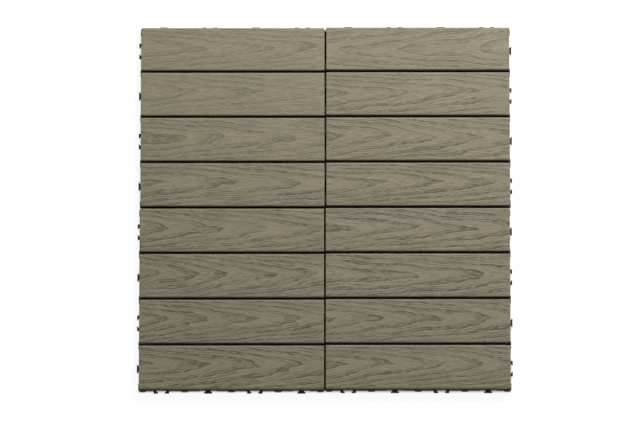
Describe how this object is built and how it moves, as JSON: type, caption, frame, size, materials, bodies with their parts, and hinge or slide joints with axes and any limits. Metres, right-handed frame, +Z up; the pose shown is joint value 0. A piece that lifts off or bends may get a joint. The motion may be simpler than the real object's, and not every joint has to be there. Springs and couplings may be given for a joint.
{
  "type": "interlocking deck tile",
  "caption": "Square panel of interlocking deck tiles: olive-brown wood-grain composite slats on black lattice bases, clipped edge to edge by hooks and sockets.",
  "frame": {"origin": "on the ground under the middle of the panel, where the four tiles meet", "axes": "+X runs along the slats, +Y across them towards the far edge, and +Z up out of the walking face"},
  "size_m": [0.6054, 0.6054, 0.023],
  "materials": {
    "slat_composite": "matt embossed wood-grain composite, greyed olive brown",
    "base_plastic": "black moulded polypropylene, satin"
  },
  "bodies": {
    "root": {"tile_r1_c1_base": "base_plastic", "tile_r1_c1_slat_1": "slat_composite", "tile_r1_c1_slat_2": "slat_composite", "tile_r1_c1_slat_3": "slat_composite", "tile_r1_c1_slat_4": "slat_composite", "tile_r1_c2_base": "base_plastic", "tile_r1_c2_slat_1": "slat_composite", "tile_r1_c2_slat_2": "slat_composite", "tile_r1_c2_slat_3": "slat_composite", "tile_r1_c2_slat_4": "slat_composite", "tile_r2_c1_base": "base_plastic", "tile_r2_c1_slat_1": "slat_composite", "tile_r2_c1_slat_2": "slat_composite", "tile_r2_c1_slat_3": "slat_composite", "tile_r2_c1_slat_4": "slat_composite", "tile_r2_c2_base": "base_plastic", "tile_r2_c2_slat_1": "slat_composite", "tile_r2_c2_slat_2": "slat_composite", "tile_r2_c2_slat_3": "slat_composite", "tile_r2_c2_slat_4": "slat_composite"}
  },
  "joints": []
}
